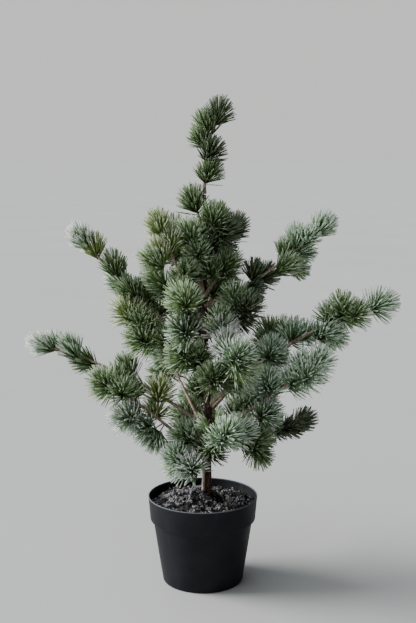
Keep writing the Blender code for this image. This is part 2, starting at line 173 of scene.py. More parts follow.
# Needles
NEEDLE_SEED = 100
NEEDLES_A_TUFT = 150
NEEDLES_FINE = 110
NEEDLE_REACH = 0.0375
NEEDLE_FINE_REACH = 0.0330
NEEDLE_SHORTEST = 0.92
LEADER_REACH = 0.93
NEEDLE_STUNTED = 0.74
STUNTED_SHARE = 0.14
NEEDLE_WIDTH = 0.0021
NEEDLE_WIDTH_CHANCE = (0.85, 1.12)
NEEDLE_FLATNESS = 0.55
NEEDLE_BEND = 0.0040
NEEDLE_BEND_CHANCE = (-0.3, 1.0)
NEEDLE_TURN_CHANCE = 0.25
NEEDLE_ORDER_CHANCE = (0.1, 0.9)
NEEDLE_SIDES = 4
ROOT_RING = 0.0008
TUFT_RUN = 0.0170
TUFT_FINE_RUN = 0.0110
TUFT_RUN_POWER = 1.5
TUFT_JITTER = 0.0025
TUFT_TOUSLE = 0.07
FRONTAL = -0.55
FAN_UP = 0.60
FAN_ASIDE = 0.35
BARK_ROOM = 0.0008
RING_PLACES = np.array([0.0, 0.34, 0.72, 1.0])
RING_WIDTHS = np.array([0.62, 1.0, 0.98, 0.66])

# Boxes in front of the trunk, by lowest and highest corner, that needles leave open
TRUNK_SHOWS = (
    ((-0.007, -0.120, 0.140), (0.018, -0.004, 0.206)),
    ((0.001, -0.120, 0.306), (0.021, -0.004, 0.348)),
)


class Station(NamedTuple):
    """One height on the trunk: where its axis runs and how thick it is."""

    height: float
    x: float
    y: float
    radius: float


TRUNK = (
    Station(SOIL_FOOT + GAP, 0.0075, 0.0050, 0.0100),
    Station(0.160, 0.0070, 0.0045, 0.0084),
    Station(0.200, 0.0070, 0.0030, 0.0079),
    Station(0.260, 0.0085, 0.0020, 0.0074),
    Station(0.330, 0.0085, 0.0010, 0.0067),
    Station(0.420, 0.0045, 0.0000, 0.0056),
    Station(0.500, 0.0025, 0.0010, 0.0046),
    Station(0.590, 0.0035, 0.0020, 0.0037),
    Station(0.672, 0.0035, 0.0015, 0.0027),
)
LEADER_TIP = Vector((0.0260, -0.0020, 0.8010))
LEADER_BOW = -0.008


class Bough(NamedTuple):
    """One limb with the spray on its end, told by the same values as in the part's source."""

    name: str
    foot: float
    bearing: float
    reach: float
    rise: float
    bow: float = 0.0
    bare: float = 0.24
    spread: float = 0.02
    roll: float = 60
    thickness: float = 0.0028
    spacing: float = TUFT_SPACING
    tip_run: float = 1.0
    opening: float = SHOOT_ANGLE
    shoot: float = SHOOT_LENGTH
    lean: float = TUFT_LEAN
    seed: int = 1


# The leader follows a path of its own, so only its growth is told here
LEADER = Bough("leader", TRUNK[-1].height, 0, 0, 0, bare=0, spread=0, roll=0, spacing=0.038, opening=40,
               lean=1.0, seed=3)
SLIM = {"opening": 30, "shoot": 0.012, "lean": 1.3}
BOUGHS = (
    Bough("low_left", 0.210, 195, 0.178, 0.150, bow=0.010, bare=0.40, spread=0.03, opening=66, seed=5),
    Bough("left_long", 0.270, 180, 0.276, 0.144, bow=0.018, spread=0.01, roll=210, spacing=0.033,
          tip_run=0.8, **SLIM),
    Bough("mid_left", 0.360, 190, 0.135, 0.114, spread=0.03, spacing=0.032, seed=11),
    Bough("upper_left", 0.400, 180, 0.205, 0.194, bow=-0.010, bare=0.40, spread=0.01, spacing=0.026,
          tip_run=1.3, seed=12, **SLIM),
    Bough("steep_left", 0.445, 220, 0.095, 0.175, spread=0.05, lean=1.3, seed=9),
    Bough("high_left_front", 0.500, 240, 0.045, 0.105, spread=0.03, roll=30, seed=6),
    Bough("top_left", 0.610, 195, 0.018, 0.046, bare=0, spread=0.01, roll=240, thickness=0.0018, lean=1.0),
    Bough("top_front", 0.560, 295, 0.035, 0.070, bare=0, roll=240, thickness=0.0018, seed=12),
    Bough("top_right", 0.565, 30, 0.055, 0.045, spread=0.03, roll=0, thickness=0.0020, lean=1.0, seed=2),
    Bough("high_right_front", 0.500, 325, 0.045, 0.055, spread=0.01, roll=30, thickness=0.0022, seed=2),
    Bough("upper_right", 0.485, 0, 0.194, 0.128, bow=-0.014, spread=0.01, roll=0, spacing=0.041,
          tip_run=1.3, shoot=0.014, lean=1.3, seed=3),
    Bough("mid_right_front", 0.430, 320, 0.090, 0.060, spread=0.03, roll=0, seed=9),
    Bough("right_long", 0.310, 350, 0.286, 0.182, bow=0.023, spread=0.01, roll=30, thickness=0.0034,
          spacing=0.044, tip_run=1.6, opening=58, shoot=0.014, seed=2),
    Bough("right_low_front", 0.250, 335, 0.196, 0.150, bare=0.22, spread=0.01, roll=120, shoot=0.022,
          seed=14),
    Bough("right_low_back", 0.230, 25, 0.185, 0.030, bare=0.45, spread=0, roll=240,
          shoot=0.014, lean=1.3, seed=2),
    Bough("right_low", 0.220, 318, 0.105, 0.046, bow=0.010, bare=0.28, spread=0.03, roll=30, seed=13),
    Bough("front_low", 0.215, 270, 0.045, 0.035, bare=0, spread=0.05, thickness=0.0022, shoot=0.022,
          seed=2),
    Bough("low_front_left", 0.200, 225, 0.070, 0.030, bow=-0.010, bare=0, spread=0.03, roll=270,
          thickness=0.0022, spacing=0.032, seed=12),
    Bough("front_mid", 0.235, 285, 0.125, 0.060, spread=0.03, roll=270, spacing=0.032, lean=1.0, seed=2),
    Bough("front_high", 0.340, 285, 0.180, 0.090, bow=0.010, spread=0.03, roll=210),
    Bough("front_left", 0.370, 240, 0.080, 0.045, spread=0.01, roll=270, seed=2),
    Bough("front_upper", 0.395, 255, 0.130, 0.115, spread=0.04, roll=30, seed=6),
    Bough("back_left_low", 0.255, 125, 0.150, 0.145, bare=0.60, spread=0.04, roll=30, seed=13),
    Bough("back_low", 0.220, 95, 0.190, 0.080, spread=0.03, roll=240, seed=9),
    Bough("back_right", 0.295, 50, 0.212, 0.115, spread=0.01, roll=330, seed=5),
    Bough("back_left_mid", 0.350, 155, 0.140, 0.140, spread=0.04, roll=330, spacing=0.032, seed=8),
    Bough("back_mid", 0.385, 90, 0.180, 0.115, spread=0.04, roll=330, seed=3),
    Bough("back_upper", 0.460, 75, 0.110, 0.095, spread=0.04, roll=180, seed=3),
    Bough("back_high", 0.530, 125, 0.100, 0.075, spread=0.04, roll=150, thickness=0.0020),
)


def between(low, high, share):
    """The value that lies a share of the way from low to high."""
    return low + (high - low) * share


def bulge(share):
    """How far a bowed path stands out at a share of it: 0 at its ends and 1 in the middle."""
    return 4 * share * (1 - share)


def trunk_at(height):
    """The trunk at a height, straight between its stations."""
    upper = next((s for s in TRUNK[1:] if s.height >= height), TRUNK[-1])
    lower = TRUNK[TRUNK.index(upper) - 1]
    share = (height - lower.height) / (upper.height - lower.height)
    return Station(*[between(low, high, share) for low, high in zip(lower, upper)])


def trunk_axis(height):
    """The middle of the trunk at a height."""
    station = trunk_at(height)
    return Vector((station.x, station.y, height))


def bough_point(bough, share):
    """A point along a bough, from the trunk's axis at 0 to its tip at 1."""
    bearing = math.radians(bough.bearing)
    out = Vector((math.cos(bearing), math.sin(bearing), 0))
    straight = trunk_axis(bough.foot) + (out * bough.reach + UP * bough.rise) * share
    return straight + UP * bough.bow * bulge(share)


def leader_point(share):
    """A point along the leader, from the trunk's tip at 0 to the top tuft at 1."""
    foot = trunk_axis(TRUNK[-1].height) + UP * GAP
    return foot.lerp(LEADER_TIP, share) + Vector((LEADER_BOW, 0, 0)) * bulge(share)


def heading(path, share):
    """The direction of a path at a share of it."""
    return (path(share + LOOK_AHEAD) - path(share - LOOK_AHEAD)).normalized()


@dataclass
class Run:
    """A tapering stretch of a path."""

    path: Callable
    start: float
    end: float
    thick: float
    thin: float
    steps: int

    def shares(self):
        return [between(self.start, self.end, i / self.steps) for i in range(self.steps + 1)]

    def points(self):
        return [self.path(share) for share in self.shares()]

    def radii(self):
        return [between(self.thick, self.thin, i / self.steps) for i in range(self.steps + 1)]

    def length(self):
        points = self.points()
        return sum((b - a).length for a, b in zip(points, points[1:]))


@dataclass
class Spray:
    """One mass of foliage: how it grows, its stem, and the side shoots and tufts on it."""

    name: str
    habit: Bough
    stem: Run
    chance: random.Random
    twigs: list = field(default_factory=list)
    tufts: list = field(default_factory=list)
    coarse: int = 0


def bough_radius(bough, share):
    """How thick a bough is at a share of its length."""
    return between(bough.thickness, TIP_THICKNESS, share)


def limb_of(bough):
    """The bare limb of a bough, from the trunk's axis to its spray."""
    path = partial(bough_point, bough)
    return Run(path, 0, bough.bare, bough.thickness, bough_radius(bough, bough.bare), LIMB_STEPS)


def spray_of(bough):
    """The spray of a bough, whose stem goes on from the limb a gap clear."""
    path = partial(bough_point, bough)
    start = bough.bare
    if bough.bare:
        start += GAP / Run(path, 0, 1, 0, 0, STEM_STEPS).length()
    stem = Run(path, start, 1, bough_radius(bough, start), TIP_THICKNESS, STEM_STEPS)
    return Spray("spray_" + bough.name, bough, stem, random.Random(bough.seed))


def leader_spray():
    """The spray that goes on from the trunk's tip to the top of the tree."""
    stem = Run(leader_point, 0, 1, TRUNK[-1].radius, TIP_THICKNESS, STEM_STEPS)
    return Spray("spray_leader", LEADER, stem, random.Random(LEADER.seed))


class Room:
    """Everything placed so far, as tapering rods with labels, so that each piece keeps clear of them."""

    def __init__(self):
        self.rods = []
        self.labels = []

    def add(self, label, start, end, start_radius, end_radius):
        """Notes a rod."""
        self.rods.append((*start, *end, start_radius, end_radius))
        self.labels.append(label)

    def add_run(self, label, points, radii):
        """Notes a line of points as rods."""
        for i in range(len(points) - 1):
            self.add(label, points[i], points[i + 1], radii[i], radii[i + 1])

    def is_free(self, start, end, start_radius, end_radius, ignoring):
        """Whether a rod keeps CLEARANCE from every other, apart from those whose label starts so."""
        rods = np.array(self.rods)[~np.char.startswith(self.labels, ignoring)]
        here, there, apart = nearest(np.array(start), np.array(end), rods[:, 0:3], rods[:, 3:6])
        own = between(start_radius, end_radius, here)
        other = between(rods[:, 6], rods[:, 7], there)
        return bool((apart > own + other + CLEARANCE).all())


def nearest(start, end, starts, ends):
    """Where one rod and each of many come nearest, as shares of their lengths, and how far apart."""
    along = end - start
    others = ends - starts
    offset = start - starts
    own_square = max(along @ along, TINY)
    squares = np.maximum((others * others).sum(1), TINY)
    lean = others @ along
    start_lean = offset @ along
    other_lean = (others * offset).sum(1)
    spread = np.maximum(own_square * squares - lean * lean, TINY)
    here = np.clip((lean * other_lean - start_lean * squares) / spread, 0, 1)
    there = np.clip((lean * here + other_lean) / squares, 0, 1)
    here = np.clip((lean * there - start_lean) / own_square, 0, 1)
    between_them = offset + here[:, None] * along - there[:, None] * others
    return here, there, np.linalg.norm(between_them, axis=1)


def leaning(along, roll, angle):
    """A direction that leaves the direction along at an angle, turned by roll from upright."""
    side = along.cross(UP).normalized()
    away = side.cross(along) * math.cos(roll) + side * math.sin(roll)
    return (along * math.cos(angle) + away * math.sin(angle)).normalized()


def tuft_label(spray, number):
    """The label of a tuft's rods, and of the twig under it."""
    return f"{spray.name}/{number}/"


def add_tuft(spray, room, base, direction):
    """Sets a tuft on a tip, bent up a little as if to the light, and notes its core."""
    room.add(tuft_label(spray, len(spray.tufts)), base, base, TUFT_CORE, TUFT_CORE)
    spray.tufts.append((base, (direction + UP * SHOOT_LIFT).normalized()))


def grow_shoot(spray, room, root, direction, length, core=TUFT_CORE, middle=TUFT_MIDDLE):
    """Adds a side shoot with its tuft, unless something else is in its way. A long one forks."""
    tip = root + direction * length
    label = tuft_label(spray, len(spray.tufts))
    own = spray.name + "/"
    twig_is_free = room.is_free(root, tip, TIP_THICKNESS, TIP_THICKNESS, ignoring=own)
    core_is_free = room.is_free(tip, tip, core, core, ignoring=own)
    middle_is_free = room.is_free(tip, tip, middle, middle, ignoring=label)
    if not (twig_is_free and core_is_free and middle_is_free):
        return
    spray.twigs.append((root, tip))
    room.add(label, root, tip, TIP_THICKNESS, TIP_THICKNESS)
    add_tuft(spray, room, tip, direction)
    if length > FORK_LENGTH:
        roll = math.radians(spray.chance.uniform(0, 360))
        fork = leaning(direction, roll, math.radians(SHOOT_ANGLE))
        grow_shoot(spray, room, root.lerp(tip, FORK_PLACE), fork, SHOOT_LENGTH)


def side_direction(spray, share, roll, opening):
    """The direction of a side shoot at a share of the stem's path, by angles in degrees."""
    return leaning(heading(spray.stem.path, share), math.radians(roll), math.radians(opening))


def shoot_places(spray, first, length, back, last, roll, spacing, chance):
    """Places of shoots back along a stem, with their directions, each turned on from the last.

    The stem is length long from its tip to the share first, and the places run from back to last, both
    measured from its tip. The next place is drawn after what grows on the one before it.
    """
    while back < last:
        share = between(1, first, back / length)
        opening = spray.habit.opening + chance.uniform(-SHOOT_ANGLE_CHANCE, SHOOT_ANGLE_CHANCE)
        yield back, share, side_direction(spray, share, roll, opening)
        back += spacing * chance.uniform(*SHOOT_STEP_CHANCE)
        roll += SHOOT_TURN + chance.uniform(-SHOOT_TURN_CHANCE, SHOOT_TURN_CHANCE)


def grow_shoots(spray, room):
    """The source's side shoots, back along the stem from its tip."""
    habit = spray.habit
    length = spray.stem.length()
    start = habit.spacing * habit.tip_run
    last = length - habit.shoot / 2
    places = shoot_places(
        spray, spray.stem.start, length, start, last, habit.roll, habit.spacing, spray.chance
    )
    for back, share, direction in places:
        shoot_length = habit.shoot + habit.spread * back / length
        grow_shoot(spray, room, spray.stem.path(share), direction, shoot_length)


def grow_fine_shoots(spray, room):
    """Short shoots between the others, and on the limbs of the dense middle of the crown."""
    habit = spray.habit
    first = spray.stem.start
    if habit.bare and habit.foot > INNER_FOOT:
        first = INNER_START
    reach = spray.stem.length() * (1 - first) / (1 - spray.stem.start)
    start = habit.spacing * (habit.tip_run - 1 + FINE_SPACING)
    roll = habit.roll + SHOOT_TURN / 2
    spacing = habit.spacing * FINE_SPACING
    chance = random.Random(FINE_SEED)
    for back, share, direction in shoot_places(spray, first, reach, start, reach, roll, spacing, chance):
        is_inner = habit.name in OPEN_LIMBS and back > OPEN_BACK * reach
        if not (is_inner and direction.y < OPEN_SIDE):
            grow_shoot(spray, room, spray.stem.path(share), direction, FINE_LENGTH, FINE_CORE, FINE_CORE)


def grow_extra_shoots(spray, room):
    """The finer shoots that a spray has at named places."""
    for name, share, opening, roll, length in EXTRA_SHOOTS:
        if spray.habit.name == name:
            direction = side_direction(spray, share, roll, opening)
            grow_shoot(spray, room, spray.stem.path(share), direction, length, FINE_CORE, FINE_CORE)


def grow_all():
    """Every spray, with its shoots and tufts grown clear of everything else."""
    room = Room()
    room.add_run("trunk/", [Vector((s.x, s.y, s.height)) for s in TRUNK], [s.radius for s in TRUNK])
    for bough in BOUGHS:
        if bough.bare:
            limb = limb_of(bough)
            room.add_run("bough_" + bough.name + "/", limb.points(), limb.radii())
    sprays = [leader_spray(), *map(spray_of, BOUGHS)]
    for spray in sprays:
        room.add_run(spray.name + "/", spray.stem.points(), spray.stem.radii())
        add_tuft(spray, room, spray.stem.path(1), heading(spray.stem.path, 1))
    for spray in sprays:
        grow_shoots(spray, room)
        spray.coarse = len(spray.tufts)
    for spray in sprays:
        grow_extra_shoots(spray, room)
        if spray.habit.name not in SPARSE:
            grow_fine_shoots(spray, room)
    return sprays


# Shader helpers

def node(tree, kind, inputs=None, **settings):
    """Adds a shader node with its settings and input values. An input given a socket is linked."""
    made = tree.nodes.new(kind)
    for name, value in settings.items():
        setattr(made, name, value)
    for name, value in (inputs or {}).items():
        if isinstance(value, bpy.types.NodeSocket):
            tree.links.new(value, made.inputs[name])
        else:
            made.inputs[name].default_value = value
    return made


def new_material(name, colour, roughness, gloss=0.5):
    """A material with plain values on its shader's sockets, its node tree and its shader."""
    material = bpy.data.materials.new(name)
    material.use_nodes = True
    tree = material.node_tree
    shader = tree.nodes["Principled BSDF"]
    shader.inputs["Base Color"].default_value = (*colour, 1)
    shader.inputs["Roughness"].default_value = roughness
    shader.inputs["Specular IOR Level"].default_value = gloss
    material.diffuse_color = (*colour, 1)
    return material, tree, shader


def speckle_group():
    """Noise on the object's coordinates, stretched upright and cut to a mask between two levels."""
    group = bpy.data.node_groups.new("speckle", "ShaderNodeTree")
    for name in ("Scale", "Stretch", "Detail", "Low", "High"):
        group.interface.new_socket(name, in_out="INPUT", socket_type="NodeSocketFloat")
    group.interface.new_socket("Mask", in_out="OUTPUT", socket_type="NodeSocketFloat")
    inputs = group.nodes.new("NodeGroupInput").outputs
    place = node(group, "ShaderNodeTexCoord").outputs["Object"]
    squeeze = node(group, "ShaderNodeCombineXYZ", {"X": 1.0, "Y": 1.0, "Z": inputs["Stretch"]})
    ends = {0: place, 1: squeeze.outputs[0]}
    squeezed = node(group, "ShaderNodeVectorMath", ends, operation="MULTIPLY").outputs[0]
    values = {"Vector": squeezed, "Scale": inputs["Scale"], "Detail": inputs["Detail"]}
    cloud = node(group, "ShaderNodeTexNoise", values).outputs["Fac"]
    node(group, "NodeGroupOutput", {"Mask": scaled(group, cloud, 0, 1, inputs["Low"], inputs["High"])})
    return group


def speckle(tree, scale, stretch=1.0, detail=4.0, low=0.4, high=0.6):
    """The mask of the shared speckle group, with a material's own values."""
    values = {"Scale": scale, "Stretch": stretch, "Detail": detail, "Low": low, "High": high}
    return node(tree, "ShaderNodeGroup", values, node_tree=SPECKLE).outputs["Mask"]


def mixed(tree, mask, low, high):
    """Two colours, sockets or plain, blended by a mask: inputs 6 and 7 of a mix node that mixes colours."""
    low, high = [end if isinstance(end, bpy.types.NodeSocket) else (*end, 1) for end in (low, high)]
    return node(tree, "ShaderNodeMix", {0: mask, 6: low, 7: high}, data_type="RGBA").outputs[2]


def scaled(tree, value, low, high, start=0, end=1, **settings):
    """A value from start to end, turned to one from low to high."""
    inputs = {"Value": value, "From Min": start, "From Max": end, "To Min": low, "To Max": high}
    return node(tree, "ShaderNodeMapRange", inputs, **settings).outputs["Result"]


def bumped(tree, shader, height, depth):
    """Feeds a shader's normal from a height mask, whose full step is depth deep."""
    made = node(tree, "ShaderNodeBump", {"Height": height, "Distance": depth, "Strength": 1.0})
    tree.links.new(made.outputs["Normal"], shader.inputs["Normal"])


SPECKLE = speckle_group()


# Mesh helpers

class Heap:
    """Loose shapes, gathered into one mesh."""

    def __init__(self):
        self.verts = []
        self.faces = []
        self.slots = []
        self.count = 0

    def add(self, verts, faces, slots):
        """Adds shapes as arrays: corners, faces of four or three corners, and each face's material."""
        self.verts.append(np.asarray(verts, float))
        self.faces.extend((np.asarray(faces) + self.count).tolist())
        self.slots.append(np.asarray(slots, np.int32))
        self.count += len(verts)

    def add_bmesh(self, mesh, slot=0):
        """Adds a bmesh and frees it."""
        mesh.verts.index_update()
        self.faces.extend([[vert.index + self.count for vert in face.verts] for face in mesh.faces])
        self.verts.append(np.array([tuple(vert.co) for vert in mesh.verts]))
        self.slots.append(np.full(len(mesh.faces), slot, np.int32))
        self.count += len(mesh.verts)
        mesh.free()

    def piece(self, name, materials):
        """The gathered shapes as one smooth-shaded object."""
        data = bpy.data.meshes.new(name)
        data.from_pydata(np.concatenate(self.verts), [], self.faces)
        for material in materials:
            data.materials.append(material)
        data.polygons.foreach_set("material_index", np.concatenate(self.slots))
        data.shade_smooth()
        data.update()
        return linked(name, data)


def linked(name, data):
    """An object in the scene, from a mesh, light or camera."""
    made = bpy.data.objects.new(name, data)
    bpy.context.scene.collection.objects.link(made)
    return made


def object_of(name, mesh, material):
    """One bmesh as a smooth-shaded object."""
    heap = Heap()
    heap.add_bmesh(mesh)
    return heap.piece(name, [material])


def tube(points, directions, radii, sides):
    """A closed tube, extruded from its first end through each point in turn."""
    mesh = bmesh.new()
    turn = UP.rotation_difference(directions[0]).to_matrix().to_4x4()
    place = Matrix.Translation(points[0]) @ turn
    bmesh.ops.create_circle(mesh, cap_ends=True, segments=sides, radius=radii[0], matrix=place)
    end = mesh.faces[:]
    for i in range(1, len(points)):
        drawn = bmesh.ops.extrude_face_region(mesh, geom=[*end, *end[0].edges, *end[0].verts])["geom"]
        turn = directions[i - 1].rotation_difference(directions[i]).to_matrix().to_4x4()
        step = Matrix.Translation(points[i] - points[i - 1])
        move = step @ turn @ Matrix.Scale(radii[i] / radii[i - 1], 4)
        ring = [vert for vert in drawn if isinstance(vert, bmesh.types.BMVert)]
        bmesh.ops.transform(mesh, matrix=move, verts=ring, space=Matrix.Translation(-points[i - 1]))
        end = [face for face in drawn if isinstance(face, bmesh.types.BMFace)]
    bmesh.ops.recalc_face_normals(mesh, faces=mesh.faces)
    return mesh


def turned(profile, steps):
    """A shape turned about the Z axis from a profile of radii and heights."""
    mesh = bmesh.new()
    verts = [mesh.verts.new((radius, 0, height)) for radius, height in profile]
    edges = [mesh.edges.new(pair) for pair in zip(verts, verts[1:])]
    bmesh.ops.spin(
        mesh, geom=verts + edges, axis=UP, cent=(0, 0, 0), angle=math.tau, steps=steps, use_merge=True
    )
    bmesh.ops.remove_doubles(mesh, verts=mesh.verts, dist=GAP / 10)
    bmesh.ops.recalc_face_normals(mesh, faces=mesh.faces)
    return mesh


# Pot

def arc(centre, radius, start, end, steps):
    """Points on an arc of a profile, by angles in degrees from the outward direction."""
    angles = [math.radians(between(start, end, i / steps)) for i in range(steps + 1)]
    return [(centre[0] + radius * math.cos(a), centre[1] + radius * math.sin(a)) for a in angles]


def stepped(radius, height, steps):
    """Points of a profile, as steps outward and up from a corner."""
    return [(radius + outward, height + up) for outward, up in steps]


def pot_material():
    """Matte charcoal plastic: a fine moulded grain, faint scuffs, and a painted highlight: a pale band
    along the rim's top edge.
    """
    material, tree, shader = new_material("charcoal_plastic", (0.0122, 0.0127, 0.0152), 0.50, gloss=0.10)
    mottle = speckle(tree, 26, detail=6, low=0.38, high=0.66)
    scuffs = speckle(tree, 60, stretch=0.18, detail=8, low=0.60, high=0.76)
    grain = speckle(tree, 1500, detail=2, low=0.3, high=0.7)
    base = mixed(tree, mottle, (0.0098, 0.0102, 0.0124), (0.0148, 0.0154, 0.0182))
    scuffed = mixed(tree, scaled(tree, scuffs, 0, 0.45), base, (0.028, 0.029, 0.034))
    place = node(tree, "ShaderNodeTexCoord").outputs["Object"]
    height = node(tree, "ShaderNodeSeparateXYZ", {"Vector": place}).outputs["Z"]
    # Painted highlight: the rim's top edge blends to a pale grey, as if lit.
    rim_highlight_mask = scaled(tree, height, 0, 0.6, *[POT_HEIGHT - below for below in RIM_HIGHLIGHT_BAND])
    tree.links.new(mixed(tree, rim_highlight_mask, scuffed, (0.200, 0.205, 0.230)), shader.inputs["Base Color"])
    tree.links.new(scaled(tree, mottle, 0.46, 0.60), shader.inputs["Roughness"])
    bumped(tree, shader, grain, 0.00006)
    return material


def make_pot():
    """The pot: a tapering shell with a deep lip over a step, a rounded rim and a recessed floor."""
    rim = (RIM_RADIUS - RIM_ROUND, POT_HEIGHT - RIM_ROUND)
    lip_foot = NECK_HEIGHT + LIP_STEP
    outside = [
        (0, FOOT_RECESS),
        *stepped(BASE_RADIUS, 0, FOOT_STEPS),
        *arc((BASE_RADIUS - FOOT_ROUND, FOOT_ROUND), FOOT_ROUND, start=-90, end=-8, steps=5),
        (between(BASE_RADIUS, NECK_RADIUS, 0.5), NECK_HEIGHT / 2),
        *stepped(NECK_RADIUS, NECK_HEIGHT, NECK_STEPS),
        *stepped(LIP_FOOT_RADIUS, lip_foot, LIP_STEPS),
        (between(LIP_FOOT_RADIUS, RIM_RADIUS, 0.5) - LIP_HOLLOW, lip_foot + LIP_HEIGHT / 2),
        *stepped(RIM_RADIUS, POT_HEIGHT, OUTER_RIM_STEPS),
        *arc(rim, RIM_ROUND, start=0, end=180, steps=8),
    ]
    inside = [
        *stepped(RIM_RADIUS, POT_HEIGHT, INNER_RIM_STEPS),
        (LIP_FOOT_RADIUS - POT_WALL, lip_foot),
        (NECK_RADIUS - POT_WALL, NECK_HEIGHT),
        (BASE_RADIUS - POT_WALL, POT_FLOOR),
        (0, POT_FLOOR),
    ]
    pot = object_of("pot_shell", turned(outside + inside, POT_STEPS), pot_material())
    pot.data.set_sharp_from_angle(angle=math.radians(POT_SHARP))
    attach(pot, BODY)
    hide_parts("pot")


# Soil

class Clod(NamedTuple):
    """One kind of crumb in the soil: its tint, count and sizes, and the share that lies on the mound."""

    name: str
    colour: tuple
    count: int
    smallest: float
    largest: float
    mound_share: float


# The first, darkest tint also colours the plug under the crumbs: partly dark soil, partly painted shade in
# the gaps between crumbs.
CLODS = (
    Clod("soil_dark", (0.012, 0.012, 0.013), 420, 0.0012, 0.0040, 0.55),
    Clod("soil_brown", (0.280, 0.258, 0.240), 1000, 0.0010, 0.0038, 0.05),
    Clod("soil_grey", (0.290, 0.281, 0.304), 1300, 0.0010, 0.0038, 0.62),
    Clod("soil_crumbs", (0.350, 0.337, 0.350), 2000, 0.0005, 0.0013, 0.35),
    Clod("soil_pale", (0.500, 0.488, 0.510), 240, 0.0003, 0.0013, 0.40),
    Clod("soil_rosy", (0.560, 0.390, 0.410), 80, 0.0004, 0.0015, 0.20),
    Clod("soil_mossy", (0.310, 0.350, 0.250), 160, 0.0005, 0.0022, 0.05),
)
MOUND = Vector((-0.014, 0.008, 0))
MOUND_RADIUS = 0.052
MOUND_HEIGHT = 0.0155
HOLLOW = Vector((0.026, 0.000, 0))
HOLLOW_RADIUS = 0.027
HOLLOW_DEPTH = 0.0120
SMALL_CLOD = 0.0017
CLOD_SIZE_POWER = 1.8
CLOD_SINK = (-0.35, 0.45)
BARE_PATCH = -0.12
# Shares of a tint for the soil's dark grains, partly painted shade, and for its pale grains
GRAIN_DARK_AND_SHADE = 0.20
GRAIN_PALE = 1.30

# Noise over the soil, as height, scale and layer
LUMPS = (0.0056, 62, 3.7)
CRUMBS = (0.0034, 190, 9.1)
PATCHES = (1, 75, 1.3)

# Shape of a clod: shares of its size, and how the waves of its dents run and start
CLOD_CORE = 0.62
CLOD_DENT = 0.16
CLOD_CRAG = 0.22
CLOD_SQUEEZE = (0.60, 1.15)
DENTS = 4
DENT_RUN = 2.6
DENT_START = 6


def swell(x, y, middle, radius):
    """A round swelling: 1 at its middle and 0 from its radius on."""
    away = math.hypot(x - middle.x, y - middle.y) / radius
    return (1 - away * away) ** 2 if away < 1 else 0.0


def uneven(x, y, height, scale, layer):
    """How high one kind of unevenness stands at a place on the soil."""
    return height * noise.noise(Vector((x * scale, y * scale, layer)))


def soil_height(x, y):
    """The uneven top of the soil: a mound on the left, a hollow by the trunk, lumps all over."""
    away = math.hypot(x, y)
    fall = min(1, max(0, (away - SOIL_FLAT_RADIUS) / (SOIL_EDGE_RADIUS - SOIL_FLAT_RADIUS)))
    mound = MOUND_HEIGHT * swell(x, y, MOUND, MOUND_RADIUS)
    hollow = HOLLOW_DEPTH * swell(x, y, HOLLOW, HOLLOW_RADIUS)
    level = SOIL_FOOT - SOIL_CROWN * fall + mound - hollow
    return level + uneven(x, y, *LUMPS) + uneven(x, y, *CRUMBS)


def soil_material(name, colour):
    """Crumbled soil: plain tint with finer pale grains and dark grains, the dark ones partly the soil's own
    and partly painted shade between crumbs.
    """
    material, tree, shader = new_material(name, colour, 0.95)
    grains = speckle(tree, 520, detail=6, low=0.40, high=0.62)
    # Dark grains: partly the soil's own, partly painted shade between crumbs.
    dark = tuple(GRAIN_DARK_AND_SHADE * part for part in colour)
    pale = tuple(GRAIN_PALE * part for part in colour)
    tree.links.new(mixed(tree, grains, dark, pale), shader.inputs["Base Color"])
    bumped(tree, shader, speckle(tree, 1400, detail=5, low=0.3, high=0.7), 0.0004)
    return material


def ball(subdivisions):
    """The corners and faces of a round ball, for lumps to start from."""
    mesh = bmesh.new()
    bmesh.ops.create_icosphere(mesh, subdivisions=subdivisions, radius=1)
    corners = np.array([vert.co for vert in mesh.verts])
    faces = np.array([[vert.index for vert in face.verts] for face in mesh.faces])
    mesh.free()
    return corners, faces


def lump(corners, size, chance):
    """A craggy lump of soil: a ball squeezed, dented and turned by chance."""
    waves = corners @ chance.uniform(-DENT_RUN, DENT_RUN, (3, DENTS))
    dents = np.abs(np.sin(waves + chance.uniform(0, DENT_START, DENTS)))
    crags = chance.uniform(-CLOD_CRAG, CLOD_CRAG, len(corners))
    shape = corners * (CLOD_CORE + CLOD_DENT * dents.sum(1) + crags)[:, None]
    shape = shape * (size * chance.uniform(*CLOD_SQUEEZE, 3))
    turn = np.array(Matrix.Rotation(chance.random() * math.tau, 3, chance.normal(size=3)))
    return shape @ turn


def soil_plug():
    """The body of the soil, with its uneven top."""
    rings = [SOIL_EDGE_RADIUS * (1 - i / SOIL_RINGS) for i in range(SOIL_RINGS + 1)]
    foot = SOIL_LEVEL - SOIL_DEPTH
    inner = NECK_RADIUS - POT_WALL - GAP
    profile = [(0, foot), (inner, foot), *[(radius, SOIL_LEVEL) for radius in rings]]
    plug = turned(profile, SOIL_SECTORS)
    for vert in plug.verts:
        if vert.co.z > SOIL_LEVEL - GAP:
            vert.co.z = soil_height(vert.co.x, vert.co.y)
    return plug


def strew(heap, clod, slot, balls, chance):
    """Strews one kind of clod over the soil and its mound. All but the first leave bare patches, where the
    near-black plug shows as painted shade.
    """
    for _ in range(clod.count):
        on_mound = chance.random() < clod.mound_share
        middle, radius = (MOUND, MOUND_RADIUS) if on_mound else (Vector(), SOIL_EDGE_RADIUS)
        away = (radius - clod.largest) * math.sqrt(chance.random())
        angle = chance.random() * math.tau
        size = clod.smallest * (clod.largest / clod.smallest) ** (chance.random() ** CLOD_SIZE_POWER)
        x = middle.x + away * math.cos(angle)
        y = middle.y + away * math.sin(angle)
        if slot and uneven(x, y, *PATCHES) < BARE_PATCH:
            continue
        corners, faces = balls[size > SMALL_CLOD]
        height = soil_height(x, y) + size * chance.uniform(*CLOD_SINK)
        place = np.array((x, y, height))
        heap.add(lump(corners, size, chance) + place, faces, np.full(len(faces), slot))


